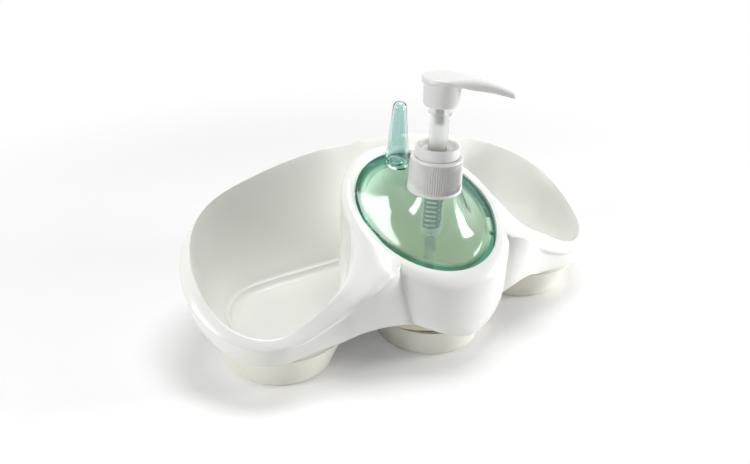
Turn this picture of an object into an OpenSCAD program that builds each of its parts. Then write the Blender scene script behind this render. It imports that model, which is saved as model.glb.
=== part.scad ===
/* [Caddy body] */
// Overall length of the body
body_l = 291; // [270:1:310]
// Overall depth of the body
body_d = 135; // [128:1:142]
// Height of the crest of the rim at the back
rim_h = 96; // [90:1:102]
// Thickness of the moulded walls
wall = 2.2; // [1.8:0.1:2.6]
// Rise of the rolled rim above its inner edge
bead_rise = 2.8; // [2:0.1:3.4]
// Usual width of the rolled rim
bead_w = 6.5; // [5.5:0.1:7]
// How far the rolled rim overhangs the skirt
bead_bulge = 1.3; // [0.6:0.1:1.8]
// Height of the ledge round the compartment floors
ledge_h = 19; // [18:0.5:21]
// Height of the compartment floors
floor_h = 14.5; // [13:0.5:16]
// Width of the ledge round the compartment floors
ledge_w = 3; // [2:0.5:4]

/* [Turret] */
// Outer radius of the round turret that holds the tank
turret_r = 52; // [51.8:0.1:53]
// Distance of the turret axis in front of the middle of the body
turret_back = 15.5; // [15:0.1:16]
// Tilt of the turret top and of the lid, in degrees
lid_tilt = 25; // [23:0.5:27]
// Height of the lid edge above the turret axis
lid_h = 81.4; // [80:0.2:83]
// Radius of the lid
lid_r = 43.4; // [43:0.1:44]
// Radius of the rounding on the turret top
ring_round = 6; // [4:0.5:7]
// Lowest point of the front of the turret wall
tongue_h = 19.4; // [18:0.2:22]
// Height of the arches beside the turret
arch_h = 31.7; // [30:0.2:33]
// Half width of the turret wall between its two grooves
tongue_w = 33; // [31:0.5:35]

/* [Feet] */
// Distance of each side foot from the middle, as a share of half the length
foot_share = 0.6447; // [0.634:0.002:0.656]
// Distance of the side feet in front of the middle
foot_front = 3.6; // [2.4:0.2:4]
// Radius of the side feet at their top
foot_r = 39.6; // [38.6:0.2:39.8]
// Radius of the middle foot at its top
mid_foot_r = 34.8; // [33.4:0.2:36]
// Height of the cups of the side feet
foot_h = 23; // [21:0.5:23]
// Height of the cup of the middle foot
mid_foot_h = 18; // [16.5:0.5:19]
// How much narrower a side foot is at its bottom than at its top
foot_draft = 7.3; // [6:0.1:8]
// How much narrower the middle foot is at its bottom than at its top
mid_foot_draft = 1.6; // [1:0.2:2.4]
// Radius of the rounded bottom edge of a foot
foot_round = 4; // [3:0.5:5]
// Thickness of the plate that joins the feet
plate_t = 2.2; // [1.8:0.1:2.6]

/* [Tank] */
// Outer radius of the soap tank
tank_r = 41.2; // [40.8:0.1:41.4]
// Height of the underside of the wide part of the tank
tank_step_h = 20; // [19.5:0.5:22]
// Outer radius of the well at the bottom of the tank
well_r = 26.5; // [24:0.5:27]
// Thickness of the tank wall
tank_wall = 2; // [1.6:0.1:2.2]
// Height of the gap below the well of the tank
well_gap = 0.3; // [0.2:0.1:0.5]
// Thickness of the flange of the tank
tank_flange_t = 1.8; // [1.4:0.1:2.2]

/* [Lid] */
// Thickness of the lid
lid_t = 2.2; // [1.8:0.1:2.6]
// Height of the rim of the lid
lid_rim_h = 5; // [4:0.5:6]
// Height of the dome above the edge of the lid
dome_h = 5; // [4:0.5:7]
// Depth of the plug that goes into the tank
plug_h = 7; // [5:0.5:9]
// Distance of the pump axis in front of the middle of the body
pump_back = 21.5; // [21:0.1:22]
// Height of the flat for the pump cap above the middle of the lid edge
neck_up = 15.1; // [14.1:0.1:16.6]
// Radius of the boss below the pump cap
boss_r = 16.4; // [16:0.1:17]
// Outer radius of the neck at the root of its thread
neck_r = 12.7; // [12.4:0.1:12.9]
// Inner radius of the neck
neck_bore_r = 11; // [10.6:0.1:11.2]
// Height of the neck above its flat
neck_h = 15; // [14:0.5:16]
// Pitch of the thread of the neck
thread_pitch = 4.2; // [4:0.1:4.4]
// Depth of the thread of the neck
thread_d = 0.9; // [0.6:0.1:1]

/* [Ring cone] */
// Distance of the cone behind the middle of the body
cone_back = 17.6; // [17:0.2:18.4]
// Height of the foot of the cone above the middle of the lid edge
cone_up = 17; // [16.6:0.1:18]
// Length of the cone
cone_h = 39.6; // [36:0.2:42]
// Radius of the foot of the cone
cone_r = 7.1; // [6.6:0.1:7.4]
// Radius of the round tip of the cone
cone_tip_r = 4.2; // [3.6:0.1:4.6]
// Thickness of the cone wall
cone_wall = 1.6; // [1.2:0.1:1.8]
// Radius of the peg that the cone is pushed on
peg_r = 3.4; // [3:0.1:3.6]
// Length of the peg above the foot of the cone
peg_h = 10; // [8:0.5:12]

/* [Pump cap] */
// Radius of the ribbed cap at its bottom
cap_r = 16; // [15.8:0.1:16.2]
// Radius of the ribbed cap at its top
cap_top_r = 15.3; // [15:0.1:15.6]
// Height of the ribbed cap
cap_h = 21.2; // [20.4:0.2:22]
// Number of ribs round the cap
rib_n = 72; // [48:4:80]
// Depth of the ribs
rib_d = 0.5; // [0.3:0.1:0.6]
// Radius of the lock collar at its foot
collar_r = 13; // [12.6:0.1:13.4]
// Radius of the well in the top of the lock collar
collar_well_r = 10.4; // [10:0.1:10.8]
// Height of the lock collar above the cap
collar_h = 6.4; // [5.8:0.2:7]

/* [Pump] */
// Inner radius of the pump cylinder
barrel_r = 6.2; // [6:0.1:6.4]
// Thickness of the pump cylinder
barrel_wall = 1; // [0.8:0.1:1.2]
// Length of the pump cylinder, from the top of its flange to the ball seat
barrel_len = 45.6; // [43:0.2:48]
// Outer radius of the dip tube
tube_r = 3.3; // [3:0.1:3.6]
// Thickness of the dip tube
tube_wall = 0.8; // [0.6:0.1:1]
// Height of the lower end of the dip tube
tube_end_h = 8; // [6:0.5:12]
// Radius of the ball of the foot valve
ball_r = 2.4; // [2.1:0.1:2.6]
// Travel of the ball off its seat
ball_lift = 1; // [0.6:0.1:1.4]
// Outer radius of the stem
stem_r = 4.7; // [4.4:0.1:4.9]
// Outer radius of the sleeve at the top of the stem
sleeve_r = 5.8; // [5.4:0.1:6]
// Bore radius of the stem
stem_bore_r = 2.9; // [2.6:0.1:3.1]
// Length of the stem that shows between the lock collar and the head
stem_show = 20.5; // [19.5:0.1:22]
// Stroke of the pump
stroke = 15; // [12:0.5:15]
// Radial running clearance of stem and piston
running_gap = 0.06; // [0.02:0.01:0.08]

/* [Pump spring] */
// Mean radius of the coils
spring_r = 4.9; // [4.6:0.1:5]
// Radius of the wire
wire_r = 0.45; // [0.35:0.05:0.5]
// Number of coils
coil_n = 8; // [6:1:9]

/* [Pump head] */
// Radius of the head socket
head_r = 10.6; // [10:0.1:11]
// Height of the head, from the lower end of its socket to its top
head_h = 19.9; // [19:0.1:21.4]
// Reach of the spout from the pump axis
spout_reach = 41; // [36:0.5:44]
// Drop of the spout tip below the top of the head
spout_drop = 10; // [8:0.5:12]
// Direction of the spout to the right of straight ahead, in degrees
spout_turn = 60; // [40:1:90]
// Radius of the soap passage in the spout
passage_r = 1.1; // [0.9:0.1:1.2]

/* [Hidden] */
$fn = 64;

// Overrun of every cut, and the free gap between pieces that lift apart
cut = 1;
lift_gap = 0.4;
half_l = body_l / 2;
half_d = body_d / 2;
foot_x = foot_share * half_l;
foot_y = -foot_front;
turret_y = -turret_back;
pump_y = -pump_back;
// The middle foot stands a little in front of the pump axis
mid_foot_y = pump_y - wall;
cone_y = cone_back;
neck_base_h = lid_h + neck_up;
cone_base_h = lid_h + cone_up;
// Length that is larger than the whole object
reach = body_l;

// Stations of the body, as shares of half the length, half the depth and the rim height.
// They run round the left half from the middle of the back to inside the turret wall.
// Inner edge of the rolled rim
crest_shares = [[0, .908, .974], [.206, .919, .958], [.399, .938, .91], [.564, .936, .85],
    [.694, .892, .8], [.804, .756, .75], [.887, .533, .688], [.93, .281, .613],
    [.939, .03, .531], [.921, -.178, .46], [.883, -.356, .417], [.825, -.48, .394],
    [.756, -.548, .394], [.68, -.581, .432], [.605, -.581, .488], [.529, -.545, .559],
    [.457, -.452, .644], [.399, -.311, .729], [.357, -.126, .807], [.32, 0, .865]];
// Groove where the rolled rim ends and the skirt begins
valley_shares = [[0, .979, .927], [.209, .979, .911], [.404, .979, .859], [.574, .973, .802],
    [.72, .926, .745], [.829, .788, .698], [.921, .566, .63], [.976, .308, .552],
    [.991, .037, .479], [.965, -.194, .422], [.921, -.385, .375], [.849, -.548, .347],
    [.77, -.625, .35], [.68, -.647, .346], [.591, -.652, .385], [.515, -.67, .438],
    [.443, -.714, .521], [.378, -.76, .625], [.313, -.748, .69], [.258, -.693, .69]];
// Lower edge of the skirt
skirt_shares = [[0, .97, .354], [.207, .97, .354], [.4, .97, .354], [.568, .963, .354],
    [.712, .915, .354], [.82, .778, .354], [.91, .558, .354], [.966, .303, .354],
    [.982, .037, .349], [.962, -.194, .318], [.92, -.385, .281], [.849, -.548, .255],
    [.77, -.625, .246], [.68, -.647, .261], [.591, -.652, .273], [.515, -.67, .284],
    [.443, -.714, .323], [.36, -.778, .351], [.282, -.815, .346], [.199, -.822, .312]];
// Inner edge of the ledge round the floor
floor_shares = [[0, .741], [.206, .741], [.399, .741], [.543, .733], [.653, .696],
    [.735, .585], [.794, .407], [.821, .207], [.828, 0], [.811, -.163], [.777, -.281],
    [.732, -.363], [.68, -.404], [.625, -.415], [.567, -.412], [.509, -.397],
    [.45, -.348], [.399, -.259], [.361, -.133], [.313, 0]];
// Steps of the body between two stations
body_steps = 2;
// Height shares of the rolled rim and of the curve of the inner walls
bead_top_share = 0.2;
shoulder_top_share = 0.42;
shoulder_rise_share = 0.57;
bead_mid_share = 0.45;
bead_side_share = 0.5;
bowl_out_share = 0.55;
bowl_up_share = 0.35;
// How much a wide shoulder falls back from its skirt, as a share of its width
shoulder_share = 0.25;
// Where the shoulders meet the turret: depth below the lid edge, slope away from it, and
// how far from the turret that holds
shoulder_drop = 0.4;
shoulder_fall_share = 0.1;
shoulder_reach = 14;
// How deep the ends of the body reach into the turret
turret_hold = 3;
// Place and radius of the openings above the side feet, as shares of half the depth
pan_hole_y_share = -4 / 75;
pan_hole_share = 22 / 75;

// Lid levels, measured down from the edge of the lid along the turret axis
ring_top = 0.8;
seat_drop = lid_rim_h + tank_flange_t;
ledge_drop = seat_drop + wall;
opening_r = lid_r + lift_gap;
bore_r = tank_r + lift_gap;
rim_wall_r = opening_r + wall;
cavity_r = turret_r - wall;
pan_top = floor_h - wall;
tank_in_r = tank_r - tank_wall;
plug_r = tank_in_r - lift_gap;
neck_top = neck_base_h + neck_h;
gasket_t = 1;
flange_t = 1.6;
flange_top = neck_top + gasket_t + flange_t;
cap_top = neck_base_h + cap_h;
socket_h = cap_top + collar_h + stem_show;
head_top_h = socket_h + head_h;
barrel_out_r = barrel_r + barrel_wall;
seat_h = flange_top - barrel_len;
seat_t = 1.5;
spring_base = seat_h + seat_t;
piston_h = 6;
// Length of the collar's plug inside the cylinder, and the gap between it and the piston
plug_len = 12;
rest_gap = 0.6;
piston_base = flange_top - plug_len - rest_gap - piston_h;
spring_len = piston_base - spring_base;
stem_foot = piston_base + 2 * wall;

function lerp(a, b, t) = a + (b - a) * t;
function flat(p) = [p.x, p.y, 0];
function unit(v) = v / norm(v);
// Smooth curve through four neighbouring points, at share t between the middle two
function smooth(a, b, c, d, t) =
    b + t / 2 * ((c - a) + t * ((2 * a - 5 * b + 4 * c - d) + t * (3 * (b - c) + d - a)));
function at(list, i) = list[max(0, min(len(list) - 1, i))];
// The curve is mirrored at its first point, so that both halves of the body meet smoothly
function before(list) = [-list[1].x, list[1].y, list[1].z];
function rail_point(list, i, t) =
    smooth(i == 0 ? before(list) : list[i - 1], list[i], at(list, i + 1), at(list, i + 2), t);
function rail(list) = [for (i = [0 : len(list) - 2], s = [0 : body_steps - 1])
    rail_point(list, i, s / body_steps)];
function sized(shares) = [for (p = shares) [-p.x * half_l, p.y * half_d, p.z * rim_h]];
function ledge(shares) = [for (p = shares) [-p.x * half_l, p.y * half_d, ledge_h]];
function closed_rail(list) = concat(rail(list), [list[len(list) - 1]]);

crest = closed_rail(sized(crest_shares));
valley = closed_rail(sized(valley_shares));
skirt = closed_rail(sized(skirt_shares));
floor_edge = closed_rail(ledge(floor_shares));

// Direction out of the compartment at each step, level with the floor
function out(k) = unit(flat(valley[k] - crest[k]));
function in_wall(k) = unit(flat(crest[k] - floor_edge[k]) + flat(valley[k] - crest[k]));
function bead_width(k) = norm(flat(valley[k] - crest[k]));
// From 0 on the rolled rim to 1 on the shoulders that run up to the turret
function wide(k) = max(0, min(1, bead_width(k) / bead_w / 2 - 1 / 2));
function bead_top(k) = let(
        p = lerp(crest[k], valley[k], bead_mid_share),
        share = lerp(bead_top_share, shoulder_top_share, wide(k)))
    [p.x, p.y, lerp(crest[k].z, valley[k].z, share)
               + bead_rise * lerp(1, shoulder_rise_share, wide(k))];
function bead_side(k) = let(
        fall = shoulder_share * max(0, bead_width(k) - bead_w),
        p = flat(valley[k]) + out(k) * (bead_bulge - fall))
    [p.x, p.y, lerp(valley[k].z, crest[k].z, bead_side_share)];
function bowl_mid(k) = [lerp(floor_edge[k], crest[k], bowl_out_share).x,
    lerp(floor_edge[k], crest[k], bowl_out_share).y,
    lerp(ledge_h, crest[k].z, bowl_up_share)];
function halfway(a, b, c, d) = smooth(a, b, c, d, 1 / 2);

// Near the turret the shoulders stay below the plane of the lid edge, so that they run
// into the rounded top of the turret and close against it
function shoulder_sink(p) =
    let(r = norm([p.x, p.y - turret_y])) shoulder_drop + shoulder_fall_share * max(0, r - rim_wall_r);
function under_rim(p, depth = 0) =
    norm([p.x, p.y - turret_y]) > turret_r + shoulder_reach ? p + [0, 0, -depth] :
    [p.x, p.y, min(p.z, lid_h + tan(lid_tilt) * (p.y - turret_y) - shoulder_sink(p)) - depth];

// The last slice ends inside the wall of the turret, however small the turret is
function in_turret(p) =
    let(r = norm([p.x, p.y - turret_y]), q = min(1, (turret_r - turret_hold) / r))
    [p.x * q, turret_y + (p.y - turret_y) * q, p.z];

// One slice through the body wall: up the inside, over the rim, down the skirt and back
function slice(k) = k < half_n - 1 ? free_slice(k) : [for (p = free_slice(k)) in_turret(p)];
function free_slice(k) = let(
        f = floor_edge[k], m = bowl_mid(k), c = crest[k], t = bead_top(k),
        o = bead_side(k), v = valley[k], s = skirt[k],
        down = [0, 0, -wall], w = out(k) * wall, wf = in_wall(k) * wall,
        step_in = f - in_wall(k) * ledge_w)
    [[step_in.x, step_in.y, floor_h], step_in, f, halfway(f + down, f, m, c), m,
     halfway(f, m, c, t), under_rim(c), under_rim(halfway(m, c, t, o)), under_rim(t),
     under_rim(halfway(c, t, o, v)), under_rim(o), under_rim(halfway(t, o, v, s)),
     under_rim(v), s, s - w, under_rim(v - w, wall / 2), under_rim(o - w, wall / 2),
     under_rim(t, wall), under_rim(c + w, wall / 2),
     m + wf, f + wf + down / 2, [f.x, f.y, floor_h - wall]];

function mirrored(list) = [for (p = list) [-p.x, p.y, p.z]];
half_n = len(crest);
// Steps of the body that carry a hook for the base pan
hook_steps = [2, 5, 16, 36];
hook_w = 8;
hook_gap = 0.2;
// All slices, from inside the turret wall on the left round the back to the right
slices = concat([for (k = [half_n - 1 : -1 : 0]) slice(k)],
                [for (k = [1 : half_n - 1]) mirrored(slice(k))]);

module ring_of_slices(list) {
    n = len(list);
    m = len(list[0]);
    points = [for (s = list, p = s) p];
    sides = [for (i = [0 : n - 1], j = [0 : m - 2], h = [0, 1])
        let(a = i * m + j, b = ((i + 1) % n) * m + j)
        h == 0 ? [a, b + 1, b] : [a, a + 1, b + 1]];
    top = [for (i = [0 : n - 1]) i * m];
    bottom = [for (i = [n - 1 : -1 : 0]) i * m + m - 1];
    polyhedron(points, concat(sides, [top, bottom]));
}

// Everything below the plane of the lid edge, moved down by drop along the turret axis
module below_lid(drop) {
    translate([0, turret_y, lid_h - drop]) rotate([lid_tilt, 0, 0])
        translate([-reach / 2, -reach / 2, -reach]) cube(reach);
}

module above_lid(drop) {
    translate([0, turret_y, lid_h - drop]) rotate([lid_tilt, 0, 0])
        translate([-reach / 2, -reach / 2, 0]) cube(reach);
}

// Upright round bar on the turret axis
module turret_bar(r, from, to) {
    translate([0, turret_y, from]) cylinder(r = r, h = to - from, $fn = 72);
}

// The turret as one tube, from below the floors up to its rounded and tilted top
turret_steps = 72;
module turret_tube() {
    rise = tan(lid_tilt);
    inner_r = bore_r - cut;
    function on_plane(a, r, drop) =
        [r * cos(a), turret_y + r * sin(a), lid_h - drop + rise * r * sin(a)];
    function profile(a) = concat(
        [[inner_r * cos(a), turret_y + inner_r * sin(a), pan_top],
         [turret_r * cos(a), turret_y + turret_r * sin(a), pan_top]],
        [for (q = [0 : 15 : 90])
            on_plane(a, turret_r - ring_round * (1 - cos(q)), ring_round * (1 - sin(q)) - ring_top)],
        [on_plane(a, inner_r, -ring_top)]);
    n = turret_steps;
    m = len(profile(0));
    // The corners of the tube lie between those of the round bars that cut it
    points = [for (i = [0 : n - 1], p = profile(360 * (i + 1 / 3) / n)) p];
    faces = [for (i = [0 : n - 1], j = [0 : m - 1], h = [0, 1])
        let(a = i * m + j, b = ((i + 1) % n) * m + j,
            c = ((i + 1) % n) * m + (j + 1) % m, d = i * m + (j + 1) % m)
        h == 0 ? [c, b, a] : [d, c, a]];
    polyhedron(points, faces);
}

// Power of the curve of the lower edge of the turret
tongue_power = 1.4;

// Curved lower edge of the front of the turret, cut straight through from the front
module tongue_cut() {
    curve = [for (i = [-1 : 1 / 12 : 1])
        [i * tongue_w, tongue_h + (arch_h - tongue_h) * pow(abs(i), tongue_power)]];
    translate([0, turret_y - turret_r / 4, 0]) rotate([90, 0, 0])
        linear_extrude(turret_r)
            polygon(concat([[-turret_r - cut, -cut], [-turret_r - cut, arch_h]], curve,
                           [[turret_r + cut, arch_h], [turret_r + cut, -cut]]));
}

// Hook of the shell that snaps under the edge of the base pan, at step k of the body
module snap_hook(k, side) {
    f = floor_edge[k];
    along = floor_edge[k + 1] - floor_edge[k - 1];
    turn = atan2(-along.x, along.y);
    catch_h = pan_top - plate_t - hook_gap;
    translate([side * f.x, f.y, 0]) rotate([0, 0, side > 0 ? turn : 180 - turn]) union() {
        hull() {
            translate([lift_gap, -hook_w / 2, catch_h])
                cube([wall - lift_gap, hook_w, ledge_h - catch_h - wall]);
            translate([lift_gap, -hook_w / 2, catch_h - wall]) cube([wall / 2, hook_w, wall]);
        }
        hull() {
            translate([-wall / 2, -hook_w / 2, catch_h - wall / 4])
                cube([wall, hook_w, wall / 4]);
            translate([lift_gap, -hook_w / 2, catch_h - wall]) cube([wall / 4, hook_w, wall]);
        }
    }
}

module outer_shell() {
    color("white") difference() {
        union() {
            ring_of_slices(slices);
            turret_tube();
            for (k = hook_steps, side = [-1, 1]) snap_hook(k, side);
        }
        intersection() {
            turret_bar(opening_r, pan_top, reach);
            above_lid(seat_drop);
        }
        turret_bar(bore_r, -cut, reach);
        intersection() {
            turret_bar(cavity_r, -cut, reach);
            below_lid(ledge_drop);
        }
        intersection() {
            difference() {
                turret_bar(cavity_r, -cut, reach);
                turret_bar(rim_wall_r, -2 * cut, reach + cut);
            }
            below_lid(wall + ring_round / 2);
        }
        tongue_cut();
    }
}

// Round cup that is closed at the bottom and stands on a flat
module foot_cup(r, draft, h) {
    low_r = r - draft;
    arc = [for (q = [-90 : 15 : -15])
        [low_r - foot_round + foot_round * cos(q), foot_round + foot_round * sin(q)]];
    inner_round = foot_round - wall;
    inner_arc = [for (q = [-15 : -15 : -90])
        [low_r - foot_round + inner_round * cos(q), foot_round + inner_round * sin(q)]];
    rotate_extrude($fn = 96)
        polygon(concat([[0, 0]], arc, [[r, h], [r - wall, h]], inner_arc, [[0, wall]]));
}

module base_pan() {
    outline = concat([for (p = floor_edge) [p.x, p.y]],
                     [for (i = [half_n - 1 : -1 : 1]) [-floor_edge[i].x, floor_edge[i].y]]);
    color("ivory") difference() {
        union() {
            for (side = [-1, 1]) translate([side * foot_x, foot_y, 0])
                foot_cup(foot_r, foot_draft, foot_h);
            translate([0, mid_foot_y, 0]) foot_cup(mid_foot_r, mid_foot_draft, mid_foot_h);
            translate([0, 0, pan_top - plate_t]) linear_extrude(plate_t) polygon(outline);
            translate([0, turret_y, pan_top - plate_t])
                cylinder(r = mid_foot_r + 2 * wall, h = plate_t, $fn = 96);
        }
        // Room for the floor of the shell above the plate, and for its flared walls
        translate([0, 0, pan_top]) linear_extrude(foot_h) offset(delta = wall + lift_gap)
            polygon(outline);
        translate([0, 0, ledge_h - wall + lift_gap / 2]) linear_extrude(foot_h)
            offset(delta = 4 * wall) polygon(outline);
        // The side feet are open at the top, below the floors of the shell
        for (side = [-1, 1])
            translate([side * foot_x, pan_hole_y_share * half_d, pan_top - plate_t - cut])
                cylinder(r = pan_hole_share * half_d, h = plate_t + 2 * cut, $fn = 96);
        translate([0, pump_y, wall])
            cylinder(r = well_r + lift_gap, h = foot_h, $fn = 96);
    }
}

module soap_tank() {
    well_base = wall + well_gap;
    color([0.9, 0.92, 0.9]) difference() {
        union() {
            intersection() {
                turret_bar(tank_r, tank_step_h, reach);
                below_lid(lid_rim_h);
            }
            intersection() {
                turret_bar(opening_r - lift_gap / 2, tank_step_h, reach);
                below_lid(lid_rim_h);
                above_lid(seat_drop);
            }
            translate([0, pump_y, well_base])
                cylinder(r = well_r, h = tank_step_h - well_base + tank_wall, $fn = 96);
        }
        turret_bar(tank_in_r, tank_step_h + tank_wall, reach);
        translate([0, pump_y, well_base + tank_wall])
            cylinder(r = well_r - tank_wall, h = tank_step_h, $fn = 96);
    }
}

// Share of the full height that a thread has at its two ends
fade_share = 0.05;
// Turns of the threads, and steps of one turn
thread_turns = 1.5;
turn_steps = 24;

// Ridge of a screw thread round the Z axis, from root_r to tip_r, outside or inside a wall
module thread_ridge(root_r, tip_r, width) {
    n = thread_turns * turn_steps;
    function bar(i) = let(tip = lerp(root_r, tip_r, min(1, min(i, n - i) / 3 + fade_share)))
        [[root_r, -width / 2], [tip, -width / 6], [tip, width / 6], [root_r, width / 2]];
    function turned(i) = let(a = 360 * i / turn_steps, rise = thread_pitch * i / turn_steps)
        [for (p = bar(i)) [p.x * cos(a), p.x * sin(a), rise + p.y]];
    points = [for (i = [0 : n], p = turned(i)) p];
    sides = [for (i = [0 : n - 1], j = [0 : 3], h = [0, 1])
        let(a = i * 4 + j, b = i * 4 + (j + 1) % 4)
        h == 0 ? [a, b, b + 4] : [a, b + 4, a + 4]];
    faces = concat(sides, [[3, 2, 1, 0]], [[for (j = [0 : 3]) n * 4 + j]]);
    inward = [for (f = faces) [for (j = [len(f) - 1 : -1 : 0]) f[j]]];
    polyhedron(points, tip_r > root_r ? faces : inward);
}

// Flared boss below the pump cap: radius and height, as shares of boss radius and height
boss_shares = [[1, 1], [1.03, .8], [1.09, .58], [1.19, .4], [1.37, .24], [1.65, .1], [2, 0]];
boss_h = 22;

module boss_solid(inset) {
    low = neck_base_h - boss_h;
    rotate_extrude($fn = 96)
        polygon(concat([[0, low - inset]],
            [for (i = [len(boss_shares) - 1 : -1 : 0])
                [boss_shares[i].x * boss_r - inset, low + boss_shares[i].y * boss_h - inset]],
            [[0, neck_base_h - inset]]));
}

// Ball shape whose cap rises above the plane of the lid edge
module dome_ball(inset) {
    half = lid_r / cos(lid_tilt / 2);
    ball = (half * half + dome_h * dome_h) / (2 * dome_h);
    translate([0, turret_y, lid_h]) rotate([lid_tilt, 0, 0]) translate([0, 0, dome_h - ball])
        sphere(r = ball - inset, $fn = 128);
}

module lid_skin(inset) {
    intersection() {
        union() {
            dome_ball(inset);
            translate([0, pump_y, 0]) boss_solid(inset);
        }
        turret_bar(lid_r - inset, tank_step_h, reach);
        above_lid(lid_rim_h + cut * (inset > 0 ? 1 : 0));
    }
}

module tank_lid() {
    color([0.35, 0.62, 0.52, 0.6]) {
        difference() {
            union() {
                lid_skin(0);
                intersection() {
                    turret_bar(plug_r, tank_step_h, reach);
                    below_lid(lid_rim_h - cut / 2);
                    above_lid(lid_rim_h + plug_h);
                }
                translate([0, pump_y, neck_base_h - lid_t]) cylinder(r = neck_r, h = neck_h + lid_t);
                translate([0, pump_y, neck_base_h + thread_pitch])
                    thread_ridge(neck_r - thread_d / 3, neck_r + thread_d, thread_pitch / 2);
            }
            intersection() {
                lid_skin(lid_t);
                turret_bar(plug_r - lid_t, tank_step_h, reach);
            }
            intersection() {
                turret_bar(plug_r - lid_t, tank_step_h, reach);
                below_lid(0);
            }
            translate([0, pump_y, tank_step_h]) cylinder(r = neck_bore_r, h = reach);
        }
        translate([0, cone_y, cone_base_h - lid_t]) cylinder(r = peg_r, h = peg_h + lid_t);
    }
}

module ring_cone() {
    inner_tip = cone_tip_r - cone_wall;
    tip_z = cone_h - cone_tip_r;
    color([0.5, 0.75, 0.68, 0.6]) translate([0, cone_y, cone_base_h]) difference() {
        rotate_extrude()
            polygon(concat([[0, -cut], [cone_r, -cut]],
                [for (q = [0 : 15 : 90]) [cone_tip_r * cos(q), tip_z + cone_tip_r * sin(q)]]));
        rotate_extrude()
            polygon(concat([[0, -2 * cut], [cone_r - cone_wall, -2 * cut]],
                [for (q = [0 : 30 : 90]) [inner_tip * cos(q), tip_z + inner_tip * sin(q)]]));
        translate([0, -cone_y, -cone_base_h]) lid_skin(0);
    }
}

module closure_cap() {
    hole_r = barrel_out_r + 2 * wall;
    skin = [for (i = [0 : 2 * rib_n - 1]) let(a = i * 180 / rib_n, r = cap_r - (i % 2) * rib_d)
        [r * cos(a), r * sin(a)]];
    top_round = wall / 2;
    color("white") translate([0, pump_y, neck_base_h]) {
        difference() {
            intersection() {
                linear_extrude(cap_h) polygon(skin);
                rotate_extrude($fn = 96)
                    polygon([[0, 0], [cap_r, 0], [cap_top_r, cap_h - top_round],
                             [cap_top_r - top_round, cap_h], [0, cap_h]]);
            }
            translate([0, 0, -cut])
                cylinder(r = neck_r + thread_d + lift_gap, h = flange_top - neck_base_h + cut);
            cylinder(r = hole_r, h = cap_h + cut);
        }
        translate([0, 0, thread_pitch / 2])
            thread_ridge(neck_r + thread_d + 2 * lift_gap, neck_r + lift_gap / 2,
                         thread_pitch / 2);
    }
}

module neck_gasket() {
    color("gainsboro") translate([0, pump_y, neck_top]) difference() {
        cylinder(r = neck_r, h = gasket_t);
        translate([0, 0, -cut]) cylinder(r = barrel_out_r + lift_gap, h = gasket_t + 2 * cut);
    }
}

// Ball seat: a cone below a round pocket, whose lip keeps the ball in
ball_gap = 0.1;
pocket_r = ball_r + ball_lift;
soap_bore_r = tube_r - tube_wall - wall / 3;
cone_low = seat_h - 2 * ball_r;
seat_slope = (pocket_r - soap_bore_r) / ball_r;
ball_h = cone_low + ((ball_r + ball_gap) * sqrt(1 + seat_slope * seat_slope) - soap_bore_r) / seat_slope;
lip_h = ball_h + ball_lift + ball_r / 2 + ball_gap;

module pump_housing() {
    taper = 2 * wall;
    low = seat_h - taper;
    color([0.93, 0.93, 0.9, 0.7]) translate([0, pump_y, 0]) difference() {
        union() {
            translate([0, 0, neck_top + gasket_t]) cylinder(r = neck_r, h = flange_t);
            translate([0, 0, seat_h]) cylinder(r = barrel_out_r, h = flange_top - seat_h);
            translate([0, 0, low])
                cylinder(r1 = tube_r + wall / 2, r2 = barrel_out_r, h = taper);
            translate([0, 0, low - 2 * taper]) cylinder(r = tube_r + wall / 2, h = 2 * taper);
        }
        translate([0, 0, spring_base]) cylinder(r = barrel_r, h = reach);
        translate([0, 0, lip_h]) cylinder(r = ball_r - 3 * ball_gap, h = reach);
        translate([0, 0, cone_low + ball_r]) cylinder(r = pocket_r, h = lip_h - cone_low - ball_r);
        translate([0, 0, cone_low]) cylinder(r1 = soap_bore_r, r2 = pocket_r, h = ball_r);
        translate([0, 0, low - 2 * taper - cut]) cylinder(r = soap_bore_r, h = 3 * taper);
        translate([0, 0, low - 2 * taper - cut]) cylinder(r = tube_r, h = 2 * taper);
    }
}

module lock_collar() {
    foot_t = wall;
    edge = wall / 4;
    skirt_r = barrel_r - running_gap;
    color("white") translate([0, pump_y, cap_top]) difference() {
        union() {
            rotate_extrude($fn = 96)
                polygon([[0, 0], [collar_r, 0], [collar_r - edge, collar_h - edge],
                         [collar_r - 2 * edge, collar_h], [0, collar_h]]);
            translate([0, 0, flange_top - cap_top]) cylinder(r = barrel_out_r + wall,
                                                            h = cap_top - flange_top + cut);
            translate([0, 0, flange_top - cap_top - plug_len])
                cylinder(r = skirt_r, h = plug_len + cut);
        }
        translate([0, 0, flange_top - cap_top - plug_len - cut])
            cylinder(r = stem_r + running_gap, h = reach);
        translate([0, 0, foot_t]) cylinder(r = sleeve_r + lift_gap, h = collar_h);
        difference() {
            translate([0, 0, foot_t]) cylinder(r = collar_well_r, h = collar_h);
            cylinder(r = sleeve_r + wall, h = collar_h - edge);
        }
    }
}

module dip_tube() {
    top = seat_h - 2 * wall;
    color([0.92, 0.93, 0.9, 0.8]) translate([0, pump_y, tube_end_h]) difference() {
        cylinder(r = tube_r - running_gap, h = top - tube_end_h - cut);
        translate([0, 0, -cut]) cylinder(r = tube_r - tube_wall, h = reach);
    }
}

module check_ball() {
    color("silver") translate([0, pump_y, ball_h]) sphere(r = ball_r);
}

// Points of one ring of the wire, at share t of the whole coil
function wire_centre(t) = [spring_r * cos(360 * coil_n * t), spring_r * sin(360 * coil_n * t),
    lerp(wire_r, spring_len - wire_r, t)];
rings = coil_n * 8;
function wire_ring(i) = let(t = i / rings, a = 360 * coil_n * t, radial = [cos(a), sin(a), 0])
    [for (q = [0 : 60 : 300]) wire_centre(t) + wire_r * (cos(q) * radial + sin(q) * [0, 0, 1])];
wire_rings = [for (i = [0 : rings]) wire_ring(i)];
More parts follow.
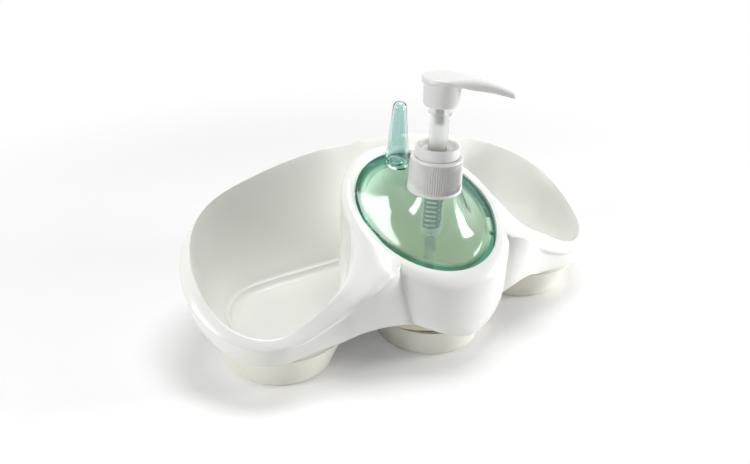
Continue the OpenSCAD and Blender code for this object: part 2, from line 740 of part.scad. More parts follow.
// Least gap between the wire and the turn above it, measured on the points of both
coil_gap = min([for (i = [0 : rings - 8], p = wire_rings[i], q = wire_rings[i + 8]) norm(p - q)]);
echo(spring_gap = coil_gap);

module return_spring() {
    points = [for (r = wire_rings, p = r) p];
    sides = [for (i = [0 : rings - 1], j = [0 : 5], h = [0, 1])
        let(a = i * 6 + j, b = i * 6 + (j + 1) % 6)
        h == 0 ? [a, b, b + 6] : [a, b + 6, a + 6]];
    color("dimgray") translate([0, pump_y, spring_base])
        polyhedron(points, concat(sides, [[5, 4, 3, 2, 1, 0]],
                                  [[for (j = [0 : 5]) rings * 6 + j]]));
}

module piston_seal() {
    seal_r = barrel_r - running_gap;
    lip = wall / 2;
    color("whitesmoke") translate([0, pump_y, piston_base]) difference() {
        rotate_extrude()
            polygon([[0, 0], [stem_r, 0], [seal_r - lip, lip], [seal_r, 0], [seal_r, 2 * lip],
                     [seal_r - lip / 2, piston_h / 2], [seal_r, piston_h - 2 * lip],
                     [seal_r, piston_h], [seal_r - lip, piston_h - lip], [stem_r, piston_h - lip],
                     [0, piston_h - lip]]);
        translate([0, 0, -cut]) cylinder(r = stem_bore_r, h = reach);
        translate([0, 0, 2 * wall]) cylinder(r = stem_r + running_gap, h = reach);
    }
}

module valve_plug() {
    pin_r = stem_bore_r - wall / 3;
    disc_r = stem_bore_r + lift_gap;
    crown_h = 2 * piston_h;
    color("whitesmoke") translate([0, pump_y, piston_base]) rotate_extrude()
        polygon([[0, -2 * wall], [pin_r, -2 * wall], [disc_r, -wall], [disc_r, 0], [pin_r, 0],
                 [pin_r, crown_h], [stem_bore_r - running_gap, crown_h],
                 [stem_bore_r - running_gap, crown_h + wall], [0, crown_h + wall]]);
}

module pump_stem() {
    sleeve_h = socket_h - 3 * wall;
    color([0.95, 0.95, 0.92, 0.8]) translate([0, pump_y, 0]) difference() {
        union() {
            translate([0, 0, stem_foot]) cylinder(r = stem_r, h = sleeve_h - stem_foot);
            translate([0, 0, sleeve_h - wall]) cylinder(r1 = stem_r, r2 = sleeve_r, h = wall);
            translate([0, 0, sleeve_h]) cylinder(r = sleeve_r, h = head_top_h - 3 * wall - sleeve_h);
        }
        translate([0, 0, stem_foot - cut]) cylinder(r = stem_bore_r, h = reach);
    }
}

// Stations of the spout: share of its reach, half width and thickness as shares of the
// head radius, and share of its drop
spout_shares = [[0, .9, .42, 0.02], [.1, .86, .44, 0.02], [.36, .56, .5, .12], [.52, .43, .5, .25],
                [.66, .36, .48, .42], [.78, .3, .44, .6], [.88, .25, .4, .78], [1, .2, .28, 1]];
// Outline of one station, from its middle: shares of the half width and of the thickness
spout_outline_shares = [[0, -.5], [.6, -.46], [.92, -.3], [1, 0], [.92, .3], [.6, .46], [0, .5],
                        [-.6, .46], [-.92, .3], [-1, 0], [-.92, -.3], [-.6, -.46]];

// Middle of a station of the spout
function spout_mid(s) =
    [spout_reach * s[0], 0, head_top_h - spout_drop * s[3] - head_r * s[2] / 2];

module spout() {
    m = len(spout_outline_shares);
    n = len(spout_shares);
    points = [for (s = spout_shares, p = spout_outline_shares)
        spout_mid(s) + [0, p.x * head_r * s[1], p.y * head_r * s[2]]];
    sides = [for (i = [0 : n - 2], j = [0 : m - 1], h = [0, 1])
        let(a = i * m + j, b = i * m + (j + 1) % m)
        h == 0 ? [a, a + m, b + m] : [a, b + m, b]];
    polyhedron(points, concat(sides, [[for (j = [0 : m - 1]) j]],
                              [[for (j = [m - 1 : -1 : 0]) (n - 1) * m + j]]));
}

// Straight stretch of the soap passage between two stations
module passage(from, to, r, extra) {
    d = spout_mid(to) - spout_mid(from);
    translate(spout_mid(from)) rotate([0, 90 + atan2(-d.z, d.x), 0])
        cylinder(r = r, h = norm(d) + extra);
}

module actuator_head() {
    bore_top = head_top_h - 3 * wall;
    top_round = wall / 2;
    color("white") translate([0, pump_y, 0]) rotate([0, 0, spout_turn - 90]) difference() {
        union() {
            translate([0, 0, socket_h]) rotate_extrude($fn = 96)
                polygon([[0, 0], [head_r, 0], [head_r, head_top_h - wall - socket_h],
                         [head_r - top_round, head_top_h - top_round - socket_h],
                         [head_r - 2 * wall, head_top_h - socket_h], [0, head_top_h - socket_h]]);
            spout();
        }
        translate([0, 0, socket_h - cut]) cylinder(r = sleeve_r, h = bore_top - socket_h + cut);
        translate([0, 0, bore_top - cut])
            cylinder(r = passage_r, h = spout_mid(spout_shares[0]).z - bore_top + cut);
        passage(spout_shares[0], spout_shares[4], passage_r, passage_r / 4);
        passage(spout_shares[4], spout_shares[7], passage_r * 4 / 5, spout_reach);
    }
}

outer_shell();
base_pan();
soap_tank();
tank_lid();
ring_cone();
closure_cap();
neck_gasket();
pump_housing();
lock_collar();
dip_tube();
check_ball();
return_spring();
piston_seal();
valve_plug();
pump_stem();
actuator_head();
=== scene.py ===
import bmesh
import bpy
from math import atan2, cos, hypot, pi, radians, sin, sqrt, tan
from mathutils import Matrix, Vector


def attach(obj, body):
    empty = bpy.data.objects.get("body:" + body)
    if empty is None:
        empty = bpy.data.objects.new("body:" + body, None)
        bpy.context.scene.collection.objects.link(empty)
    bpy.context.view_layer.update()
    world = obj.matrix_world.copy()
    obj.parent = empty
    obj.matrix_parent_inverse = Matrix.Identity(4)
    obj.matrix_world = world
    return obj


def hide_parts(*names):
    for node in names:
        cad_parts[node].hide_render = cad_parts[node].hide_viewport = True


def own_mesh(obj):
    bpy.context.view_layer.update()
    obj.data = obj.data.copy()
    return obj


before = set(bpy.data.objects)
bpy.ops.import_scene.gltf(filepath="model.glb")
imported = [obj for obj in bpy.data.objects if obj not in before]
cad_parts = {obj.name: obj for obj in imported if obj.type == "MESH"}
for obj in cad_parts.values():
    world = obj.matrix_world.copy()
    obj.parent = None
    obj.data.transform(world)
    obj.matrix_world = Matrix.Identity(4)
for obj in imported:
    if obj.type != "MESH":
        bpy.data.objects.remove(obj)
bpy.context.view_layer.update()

# Body shell: one glossy white ABS moulding, two open compartments on either side of
# a round turret with a slanted top. It is thin-walled, with a rolled bead round the rim,
# a groove under the bead and a plain skirt. It snaps down over the base pan.
MM = 0.001
UP = Vector((0, 0, 1))
# Sizes in millimetres. RIM_H is the crest of the rim, LID_H the lid edge on the turret axis
HALF_L, HALF_D, RIM_H = 145.5, 67.5, 96.0
LEDGE_H, FLOOR_H, LEDGE_W, WALL = 19.0, 14.5, 3.0, 2.2
TURRET_Y, TURRET_R, LID_H, SLANT = -15.5, 51.97, 81.4, radians(25)
# The turret has a flat land round the lid, a little higher than the lid edge, and is rounded
# outside it
LAND_R, LAND_PROUD, TURRET_ROUND = 46, .8, 6
# Radii round the turret axis: the floor ends at the first, the body is free of the turret beyond
# the second, and the shoulders rise on to the rounded top between the third and the fourth
FLOOR_END_R, FREE_R, BLEND_R, SHOULDER_R = 50.6, 56, 47.04, 66.0
RIM_RUN_IN, RIM_PULL = 4.1, 2.3 / 7.2
# Below the plane of the lid edge, at BLEND_R: drop, slope, and curvature outside and inside of it
BLEND_DROP, BLEND_SLOPE, BLEND_OUT, BLEND_IN = -.71, .176, .004, .15
GROOVE_DEPTH, SKIRT_INSET, FLOOR_ROUND = 1.3, .5, 6
# Width and rise, over the ledge, of the hollow that takes over from floor edge and ledge
HOLLOW_W, HOLLOW_RISE, HOLLOW_SWEEP = 8.86, 1.7, radians(70)
# Slice from which it takes over, and the number of slices that this needs
HOLLOW_FROM, HOLLOW_OVER = 46, 12


def through(a, b, c, d, t):
    """Point at share t between b and c on the smooth curve through four points."""
    return b + t / 2 * ((c - a) + t * ((2 * a - 5 * b + 4 * c - d) + t * (3 * (b - c) + d - a)))


def rail(points, steps=8):
    """Smooth rail round the left half of the body, from the middle of the back."""
    start = Vector((-points[1].x, points[1].y, points[1].z))
    row = [start] + points + [points[-1], points[-1]]
    return [through(*row[i:i + 4], s / steps) for i in range(len(points) - 1)
            for s in range(steps)] + [points[-1]]


def sized(shares):
    return [Vector((-x * HALF_L, y * HALF_D, z * RIM_H)) for x, y, z in shares]


crest = rail(sized([
    (0, .908, .974), (.206, .919, .958), (.399, .938, .91), (.564, .936, .85), (.694, .892, .8),
    (.804, .756, .75), (.887, .533, .688), (.93, .281, .613), (.939, .03, .531),
    (.921, -.178, .46), (.883, -.356, .417), (.825, -.48, .394), (.756, -.548, .394),
    (.68, -.581, .432), (.605, -.581, .488), (.529, -.545, .559), (.457, -.452, .644),
    (.399, -.311, .729), (.357, -.126, .807), (.32, 0, .865)]))
valley = rail(sized([
    (0, .979, .927), (.209, .979, .911), (.404, .979, .859), (.574, .973, .802),
    (.72, .926, .745), (.829, .788, .698), (.921, .566, .63), (.976, .308, .552),
    (.991, .037, .479), (.965, -.194, .422), (.921, -.385, .375), (.849, -.548, .347),
    (.77, -.625, .35), (.68, -.647, .346), (.591, -.652, .385), (.515, -.67, .438),
    (.443, -.714, .521), (.378, -.76, .625), (.313, -.748, .69), (.258, -.693, .69)]))
skirt = rail(sized([
    (0, .97, .354), (.207, .97, .354), (.4, .97, .354), (.568, .963, .354), (.712, .915, .354),
    (.82, .778, .354), (.91, .558, .354), (.966, .303, .354), (.982, .037, .349),
    (.962, -.194, .318), (.92, -.385, .281), (.849, -.548, .255), (.77, -.625, .246),
    (.68, -.647, .261), (.591, -.652, .273), (.515, -.67, .284), (.443, -.714, .323),
    (.36, -.778, .351), (.282, -.815, .346), (.199, -.822, .312)]))
floor_edge = rail([Vector((-x * HALF_L, y * HALF_D, LEDGE_H)) for x, y in [
    (0, .741), (.206, .741), (.399, .741), (.543, .733), (.653, .696), (.735, .585),
    (.794, .407), (.821, .207), (.828, 0), (.811, -.163), (.777, -.281), (.732, -.363),
    (.68, -.404), (.625, -.415), (.567, -.412), (.509, -.397), (.45, -.348), (.399, -.259),
    (.361, -.133), (.313, 0)]])


def level(v):
    return Vector((v.x, v.y, 0))


def to_turret(p, share):
    """Ends the body inside the turret wall. The inside stops short of its middle, and the
    rim and shoulders, from share 2 on, run in further, to where the turret is rounded."""
    high = max(0, min(1, share - 1))
    r = hypot(p.x, p.y - TURRET_Y)
    near = FLOOR_END_R - RIM_RUN_IN * high
    new = r if r > FREE_R else max(near, r + high * (r - FREE_R) * RIM_PULL)
    return Vector((p.x * new / r, TURRET_Y + (p.y - TURRET_Y) * new / r, p.z))


def onto_rim(p, weight, down=0.0):
    """Near the turret the shoulders leave its rounded top without a crease."""
    r = hypot(p.x, p.y - TURRET_Y)
    if r >= SHOULDER_R:
        return p
    u = r - BLEND_R
    drop = BLEND_DROP + BLEND_SLOPE * u + (BLEND_OUT if u > 0 else BLEND_IN) * u * u + down
    w = min(1, (SHOULDER_R - r) / (SHOULDER_R - BLEND_R))
    w = weight * w * w * (3 - 2 * w)
    edge = LID_H + tan(SLANT) * (p.y - TURRET_Y) - drop
    return Vector((p.x, p.y, p.z + w * (edge - p.z)))


def section(k):
    """One slice of the wall: floor, ledge, bowl, bead, groove, skirt, and back inside."""
    f, c, v, s = floor_edge[k], crest[k], valley[k], skirt[k]
    out = level(v - c).normalized()
    into = level(v - f).normalized()
    wide = level(v - c).length
    # The bead is narrow along the back, and broad in front, where this share is 1
    broad = max(0, min(1, wide / 13 - .5))
    # Bowl, top of the bead and its outermost point
    m = f.lerp(c, .55)
    m.z = LEDGE_H + .35 * (c.z - LEDGE_H)
    t = c.lerp(v, .45)
    t.z = c.z + (.2 + .22 * broad) * (v.z - c.z) + 2.8 * (1 - .43 * broad)
    o = level(v) + out * (1 - .25 * max(0, wide - 6.5))
    o.z = v.z + .45 * (c.z - v.z)
    # The bead hangs over a groove, and the skirt stands a little back
    v = v - out * GROOVE_DEPTH * (1 - .6 * broad)
    s = s - out * SKIRT_INSET
    step_in = f - into * LEDGE_W
    foot = Vector((step_in.x, step_in.y, 0))
    # The floor curves up to a crisp edge, and the ledge curves up into the wall
    line = [foot - into * FLOOR_ROUND * (1 - sin(q)) + UP * (FLOOR_H + 4 * (1 - cos(q)))
            for q in [radians(15 * i) for i in range(6)]]
    line += [step_in - UP * .5 + into * .05, step_in - UP * .12 + into * .3]
    line += [step_in + into * (.7 + 2.3 * sin(q)) + UP * 2.6 * (1 - cos(q))
             for q in [radians(a) for a in (0, 18, 36, 54, 70)]]
    # They fade into one smooth hollow at the far end of the compartment and in front
    plain = max(0, min(1, (k - HOLLOW_FROM) / HOLLOW_OVER))
    start = foot - into * FLOOR_ROUND + UP * FLOOR_H
    for n, p in enumerate(line):
        q = HOLLOW_SWEEP * n / (len(line) - 1)
        along = HOLLOW_W * sin(q) / sin(HOLLOW_SWEEP)
        rise = (LEDGE_H + HOLLOW_RISE - FLOOR_H) * (1 - cos(q)) / (1 - cos(HOLLOW_SWEEP))
        line[n] = p.lerp(start + into * along + UP * rise, plain * plain * (3 - 2 * plain))
    line = [to_turret(p, 0) for p in line]
    wall_foot = f + UP * 2.6
    curve = [wall_foot - into * .3 - UP * 2, wall_foot, m, c, t, o, v, s]
    for i in range(5):
        for j in range(1, 9):
            share = i + j / 8
            p = to_turret(through(*curve[i:i + 4], j / 8), share)
            line.append(onto_rim(p, max(0.0, min(1.0, share - 1))))
    # Down the skirt, round its lower edge, and back along the inside of the wall
    w = out * WALL
    groove = line[-1]
    edge = [groove.lerp(s, .04), groove.lerp(s, .5), s + UP * .6, s - w * .2, s - w * .8,
            s - w + UP * .6]
    behind = [onto_rim(to_turret(q, 2), 1, WALL)
              for q in (v - w, o - w, t - UP * WALL, c + w - UP * WALL / 2)]
    under = [m + into * WALL, f + into * WALL - UP * WALL / 2,
             Vector((f.x, f.y, FLOOR_H - WALL))]
    return line + [to_turret(p, 0) for p in edge] + behind + [to_turret(p, 0) for p in under]


half = [section(k) for k in range(len(crest))]
# On the master of the real mould the shoulders are blended by hand: here their skin is
# evened out, from the foot of the bowl to the groove, between these two radii
EVEN_TURNS, EVEN_FROM, EVEN_TO = 70, 49, 84
# Where the bowl and the groove are in a slice
BOWL, GROOVE = 12, 52
for _ in range(EVEN_TURNS):
    before = [list(line) for line in half]
    for k in range(1, len(half) - 1):
        for j in range(BOWL + 2, GROOVE):
            p = before[k][j]
            r = hypot(p.x, p.y - TURRET_Y)
            if EVEN_FROM < r < EVEN_TO:
                share = min(1, (r - EVEN_FROM) / 5, (EVEN_TO - r) / 20, (j - BOWL) / 8) / 2
                near = (before[k - 1][j] + before[k + 1][j]
                        + before[k][j - 1] + before[k][j + 1]) / 4
                half[k][j] = p.lerp(near, share)


def sunk(p):
    """The groove and the skirt end below the rounded top of the turret."""
    r = hypot(p.x, p.y - TURRET_Y)
    if r >= TURRET_R:
        return p
    share = max(0.0, r - LAND_R) / TURRET_ROUND
    top = LID_H + tan(SLANT) * (p.y - TURRET_Y) - TURRET_ROUND * (1 - sqrt(1 - share * share))
    return Vector((p.x, p.y, min(p.z, top)))


for line in half:
    line[GROOVE:GROOVE + 4] = [sunk(p) for p in line[GROOVE:GROOVE + 4]]
turned_over = [[Vector((-p.x, p.y, p.z)) for p in line] for line in half]
slices = half[:0:-1] + turned_over
rows, columns = len(slices), len(slices[0])
shell_points = [p * MM for line in slices for p in line]
shell_faces = [(i * columns + j, i * columns + j + 1,
                (i + 1) * columns + j + 1, (i + 1) * columns + j)
               for i in range(rows - 1) for j in range(columns - 1)]
# The floor closes along the turret, behind its axis
first, last = slices[0][0], slices[-1][0]
a0 = atan2(last.y - TURRET_Y, last.x)
a1 = atan2(first.y - TURRET_Y, first.x)
arc = [a0 + (a1 - a0) * i / 60 for i in range(1, 60)]
upper = len(shell_points)
floor_end = [Vector((FLOOR_END_R * cos(a), TURRET_Y + FLOOR_END_R * sin(a), FLOOR_H))
             for a in arc]
shell_points += [p * MM for p in floor_end]
lower = len(shell_points)
shell_points += [(p - UP * WALL) * MM for p in floor_end]
top_loop = [i * columns for i in range(rows)] + list(range(upper, lower))
low_loop = [i * columns + columns - 1 for i in range(rows)]
low_loop += range(lower, len(shell_points))
shell_faces += [top_loop, low_loop[::-1]]
shell_faces += [[i * columns + j for j in range(columns)] for i in (0, rows - 1)]
top_arc = [(rows - 1) * columns] + list(range(upper, lower)) + [0]
low_arc = [rows * columns - 1] + list(range(lower, len(shell_points))) + [columns - 1]
shell_faces += [(top_arc[i], top_arc[i + 1], low_arc[i + 1], low_arc[i])
                for i in range(len(arc) + 1)]


def slanted(a, r, drop):
    """Point at angle a and radius r on the plane drop below the lid edge."""
    return Vector((r * cos(a), TURRET_Y + r * sin(a), LID_H - drop + tan(SLANT) * r * sin(a)))


# The lid sits in a seat, over a lip for the flange of the tank. In front the wall ends in a low
# tongue between two arches.
SEAT_R, SEAT_DEPTH, LIP_R, LIP_DEPTH, TURRET_BORE = 43.8, 6.8, 41.6, 9, 49.8
ARCH_H, TONGUE_H, TONGUE_HALF_W = 31.7, 19.4, 33


def turret_line(a):
    """One upright slice of the turret wall: seat of the lid, rounded top, wall, inside."""
    x, y = TURRET_R * cos(a), TURRET_Y + TURRET_R * sin(a)
    low = FLOOR_H - WALL
    if y < TURRET_Y - 2:
        low = TONGUE_H + (ARCH_H - TONGUE_H) * min(1, abs(x) / TONGUE_HALF_W) ** 1.4
    line = [slanted(a, SEAT_R, SEAT_DEPTH), slanted(a, SEAT_R, -.2),
            slanted(a, SEAT_R + .2, -.65), slanted(a, SEAT_R + .7, -LAND_PROUD)]
    line += [slanted(a, LAND_R + (TURRET_R - LAND_R) * sin(q),
                     TURRET_ROUND * (1 - cos(q)) - LAND_PROUD)
             for q in [radians(7.5 * i) for i in range(13)]]
    top = line[-1]
    wall_low = Vector((x, y, low + .6))
    line += [top.lerp(wall_low, t) for t in (.25, .5, .75, 1)]
    inner = Vector((TURRET_BORE * cos(a), TURRET_Y + TURRET_BORE * sin(a), low))
    line += [Vector((x, y, low)).lerp(inner, .2), inner, slanted(a, TURRET_BORE, LIP_DEPTH),
             slanted(a, LIP_R, LIP_DEPTH), slanted(a, LIP_R, SEAT_DEPTH)]
    return line


def ring_faces(turns, deep, base=0):
    """Faces between closed slices of equal length that go once round."""
    return [(base + i * deep + j, base + i * deep + (j + 1) % deep,
             base + (i + 1) % turns * deep + (j + 1) % deep, base + (i + 1) % turns * deep + j)
            for i in range(turns) for j in range(deep)]


turns = 192
turret = [turret_line(2 * pi * (i + .5) / turns) for i in range(turns)]
shell_faces += ring_faces(turns, len(turret[0]), len(shell_points))
shell_points += [p * MM for line in turret for p in line]

# Corners closer than this are merged
WELD = .002


def tidy_mesh(piece, angle):
    """Merges doubled corners, turns all faces outwards and smooths below the angle."""
    bpy.ops.object.select_all(action="DESELECT")
    bpy.context.view_layer.objects.active = piece
    piece.select_set(True)
    bpy.ops.object.mode_set(mode="EDIT")
    bpy.ops.mesh.select_all(action="SELECT")
    bpy.ops.mesh.remove_doubles(threshold=WELD * MM)
    bpy.ops.mesh.normals_make_consistent(inside=False)
    bpy.ops.object.mode_set(mode="OBJECT")
    bpy.ops.object.shade_smooth_by_angle(angle=radians(angle))


shell_mesh = bpy.data.meshes.new("body_shell")
shell_mesh.from_pydata(shell_points, [], shell_faces)
body_shell = bpy.data.objects.new("body_shell", shell_mesh)
bpy.context.collection.objects.link(body_shell)
tidy_mesh(body_shell, 40)


def colour(code):
    """sRGB hex code as linear colour."""
    parts = [int(code[i:i + 2], 16) / 255 for i in (0, 2, 4)]
    return [p / 12.92 if p <= .04045 else ((p + .055) / 1.055) ** 2.4 for p in parts] + [1]


def add(tree, kind, values=None, links=None, **settings):
    """Adds a node with its settings, its socket values and the links into it."""
    made = tree.nodes.new(kind)
    for key, value in settings.items():
        setattr(made, key, value)
    for socket, value in (values or {}).items():
        made.inputs[socket].default_value = value
    for socket, source in (links or {}).items():
        tree.links.new(source, made.inputs[socket])
    return made


def moulded(name, pale, deep_tone, smooth, rough, patch_mm=60, ripple_mm=7, ripple=.05, **finish):
    """A moulded surface: a faint drift of tone, and the slight waviness of a polished mould
    that breaks up its reflections."""
    made = bpy.data.materials.new(name)
    made.use_nodes = True
    tree = made.node_tree
    shader = tree.nodes["Principled BSDF"]
    place = add(tree, "ShaderNodeTexCoord").outputs["Object"]
    drift = add(tree, "ShaderNodeTexNoise", {"Scale": 1 / (patch_mm * MM), "Detail": 2},
                {"Vector": place})
    tone = add(tree, "ShaderNodeMix", {6: colour(pale), 7: colour(deep_tone)},
               {0: drift.outputs["Fac"]}, data_type="RGBA")
    wave = add(tree, "ShaderNodeTexNoise", {"Scale": 1 / (ripple_mm * MM), "Detail": 1},
               {"Vector": place})
    gloss = add(tree, "ShaderNodeMapRange", {"To Min": smooth, "To Max": rough},
                {"Value": wave.outputs["Fac"]})
    bump = add(tree, "ShaderNodeBump", {"Strength": ripple, "Distance": .4 * MM},
               {"Height": wave.outputs["Fac"]})
    tree.links.new(tone.outputs[2], shader.inputs["Base Color"])
    tree.links.new(gloss.outputs[0], shader.inputs["Roughness"])
    tree.links.new(bump.outputs[0], shader.inputs["Normal"])
    for socket, value in finish.items():
        shader.inputs[socket.replace("_", " ")].default_value = value
    return made


# Glossy ABS, off-white with a trace of green: sharp but soft-edged highlights
white_abs = moulded("glossy_white_abs", "F4F4F0", "EEEFE9", .2, .28, IOR=1.54)
body_shell.data.materials.append(white_abs)
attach(body_shell, "caddy")
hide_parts("outer_shell")

# Base pan: one ivory ABS moulding that closes the body from below and stands on three
# round cup feet. It is less polished than the body, because only the feet show.
FOOT_X, FOOT_Y, MID_FOOT_Y = 93.8, -3.6, -23.7
PLATE_Z, PLATE_T, FOOT_WALL, FOOT_ROUND = 10.1, 2.1, 2.2, 4
# Radius below, radius above and height of a cup
SIDE_CUP, MIDDLE_CUP = (32.3, 39.6, 23), (33.2, 34.8, 18)
# A side foot may rise to the first height under the floor, up to this distance outside its edge,
# and from the second height on with this slope under the flared wall, up to the third height
ROOM_FLOOR, ROOM_WALL, ROOM_TOP, ROOM_EDGE, ROOM_SLOPE = 12.2, 17.6, 26, 2.8, 1.1
floor_loop = list(floor_edge) + [Vector((-p.x, p.y, p.z)) for p in floor_edge[:0:-1]]


def turned(name, outline, centre_y, segments, angle=35):
    """A piece turned round an upright line. The outline is a list of (radius, height) in
    millimetres that comes back to its start, or that starts and ends on the line."""
    bpy.ops.object.select_all(action="DESELECT")
    bpy.ops.mesh.primitive_plane_add(size=MM)
    piece = bpy.context.object
    piece.name = piece.data.name = name
    bpy.ops.object.mode_set(mode="EDIT")
    bpy.ops.mesh.select_all(action="SELECT")
    bpy.ops.mesh.merge(type="CENTER")
    bpy.ops.transform.translate(value=(outline[0][0] * MM, centre_y * MM, outline[0][1] * MM))
    for (r0, z0), (r1, z1) in zip(outline, outline[1:]):
        bpy.ops.mesh.extrude_region_move(
            TRANSFORM_OT_translate={"value": ((r1 - r0) * MM, 0, (z1 - z0) * MM)})
    bpy.ops.mesh.select_all(action="SELECT")
    bpy.ops.mesh.remove_doubles(threshold=WELD * MM)
    bpy.ops.mesh.select_all(action="SELECT")
    bpy.ops.mesh.spin(steps=segments, angle=2 * pi, center=(0, centre_y * MM, 0), axis=(0, 0, 1))
    bpy.ops.object.mode_set(mode="OBJECT")
    tidy_mesh(piece, angle)
    return piece


def rounded(r, z, radius, start, end, steps=6):
    """Points of a rounded edge round the centre (r, z), from one angle to another."""
    angles = [radians(start + (end - start) * i / steps) for i in range(steps + 1)]
    return [(r + radius * cos(q), z + radius * sin(q)) for q in angles]


def room_above(x, y):
    """Height up to which a foot may rise at that place, below the floor and the flared walls."""
    near = min(hypot(x - p.x, y - p.y) for p in floor_loop)
    inside = False
    for a, b in zip(floor_loop, floor_loop[1:] + floor_loop[:1]):
        if (a.y > y) != (b.y > y) and x < a.x + (y - a.y) / (b.y - a.y) * (b.x - a.x):
            inside = not inside
    if inside or near < ROOM_EDGE:
        return ROOM_FLOOR
    return min(ROOM_TOP, ROOM_WALL + ROOM_SLOPE * (near - ROOM_EDGE))


def foot_cup(name, sizes, x, y):
    """Round cup with a draft, a rounded lower edge and an open top. A side foot also has a
    rim that reaches up under the flared wall."""
    low_r, high_r, height = sizes
    slope = atan2(high_r - low_r, height - FOOT_ROUND)
    levels = [6 + (height - 6) * i / 6 for i in range(7)]
    outline = [(0, 0), (low_r - 6, 0)]
    outline += rounded(low_r - FOOT_ROUND, FOOT_ROUND, FOOT_ROUND, -90, -slope * 180 / pi, 8)
    outline += [(low_r + tan(slope) * (z - FOOT_ROUND), z) for z in levels]
    if x:
        outline += [(high_r - 1.2, height + .6), (high_r - 2.2, height + 2.4),
                    (high_r - 3.6, height + 2.4), (high_r - 3.6, height)]
    else:
        outline += [(high_r - FOOT_WALL, height)]
    outline += [(low_r - FOOT_WALL + tan(slope) * (z - FOOT_ROUND), z) for z in levels[-2::-1]]
    outline += [(low_r - 4, FOOT_WALL), (0, FOOT_WALL)]
    cup = turned(name, outline, 0, 96)
    for v in cup.data.vertices:
        v.co.x += x * MM
        v.co.y += y * MM
        if x:
            v.co.z = min(v.co.z, room_above(v.co.x / MM, v.co.y / MM) * MM)
    return cup


cups = [foot_cup("left_foot", SIDE_CUP, -FOOT_X, FOOT_Y),
        foot_cup("right_foot", SIDE_CUP, FOOT_X, FOOT_Y),
        foot_cup("middle_foot", MIDDLE_CUP, 0, MID_FOOT_Y)]
bpy.ops.object.select_all(action="DESELECT")
bpy.ops.mesh.primitive_circle_add(vertices=len(floor_loop), radius=.1, fill_type="NGON")
base_pan = bpy.context.object
base_pan.name = base_pan.data.name = "base_pan_with_feet"
for v, p in zip(base_pan.data.vertices, floor_loop):
    v.co = Vector((p.x, p.y, PLATE_Z)) * MM
bpy.ops.object.mode_set(mode="EDIT")
bpy.ops.mesh.select_all(action="SELECT")
bpy.ops.mesh.extrude_region_move(TRANSFORM_OT_translate={"value": (0, 0, PLATE_T * MM)})
bpy.ops.object.mode_set(mode="OBJECT")
for cup in cups:
    cup.select_set(True)
base_pan.select_set(True)
bpy.context.view_layer.objects.active = base_pan
bpy.ops.object.join()
tidy_mesh(base_pan, 35)
# Ivory ABS off a plainer mould: warmer and a little duller than the body
ivory_abs = moulded("satin_ivory_abs", "F4F2E6", "EDEBDF", .28, .4, patch_mm=45, ripple=.04,
                    IOR=1.54)
base_pan.data.materials.clear()
base_pan.data.materials.append(ivory_abs)
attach(base_pan, "caddy")
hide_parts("base_pan")

# Soap tank: natural polypropylene, milky, dropped into the turret and held by its flange.
# It stays as it was built, with its own finish, as it is seen only through the lid.
milky_pp = moulded("milky_natural_polypropylene", "F3EFDC", "ECE8D2", .35, .5, patch_mm=30,
                   IOR=1.49)
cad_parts["soap_tank"].data.materials.clear()
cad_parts["soap_tank"].data.materials.append(milky_pp)

# Tank lid: transparent green SAN moulding, a shallow dome that rises in a flared boss to
# the threaded neck of the pump. Its rim is thick and rounded, so it looks darker, and a
# plug below it fits the mouth of the tank.
PUMP_Y, BOSS_R, BOSS_TOP, FLARE = -21.5, 16.4, 96.5, 20
LID_R, DOME_H, LID_EDGE_R, LID_DROP, PLUG_R = 43.4, 5, 1.5, 5, 37.4
# Neck: bore, radius at the root of its thread, lower end and top
NECK_BORE, NECK_R, NECK_LOW, NECK_TOP = 11, 12.7, 94.3, 111.5
# The dome is part of a ball
ball_r = ((LID_R / cos(SLANT / 2)) ** 2 + DOME_H ** 2) / (2 * DOME_H)
ball_y = TURRET_Y - (DOME_H - ball_r) * sin(SLANT)
ball_z = LID_H + (DOME_H - ball_r) * cos(SLANT)


def dome_z(x, y):
    return ball_z + sqrt(ball_r ** 2 - x * x - (y - ball_y) ** 2)


def lid_z(x, y):
    """Height of the lid: the dome, and the flare of the boss that rises out of it."""
    r = hypot(x, y - PUMP_Y)
    if r < BOSS_R:
        return BOSS_TOP
    bx, by = BOSS_R * x / r, PUMP_Y + BOSS_R * (y - PUMP_Y) / r
    t = min(1, (r - BOSS_R) / FLARE)
    return dome_z(x, y) + (BOSS_TOP - dome_z(bx, by)) * (1 - t) ** 3.2


def under_lid(x, y):
    """Point of the underside of the lid, square to the surface above it."""
    d = .05
    slope = Vector((lid_z(x - d, y) - lid_z(x + d, y), lid_z(x, y - d) - lid_z(x, y + d), 2 * d))
    return Vector((x, y, lid_z(x, y))) - slope.normalized() * WALL


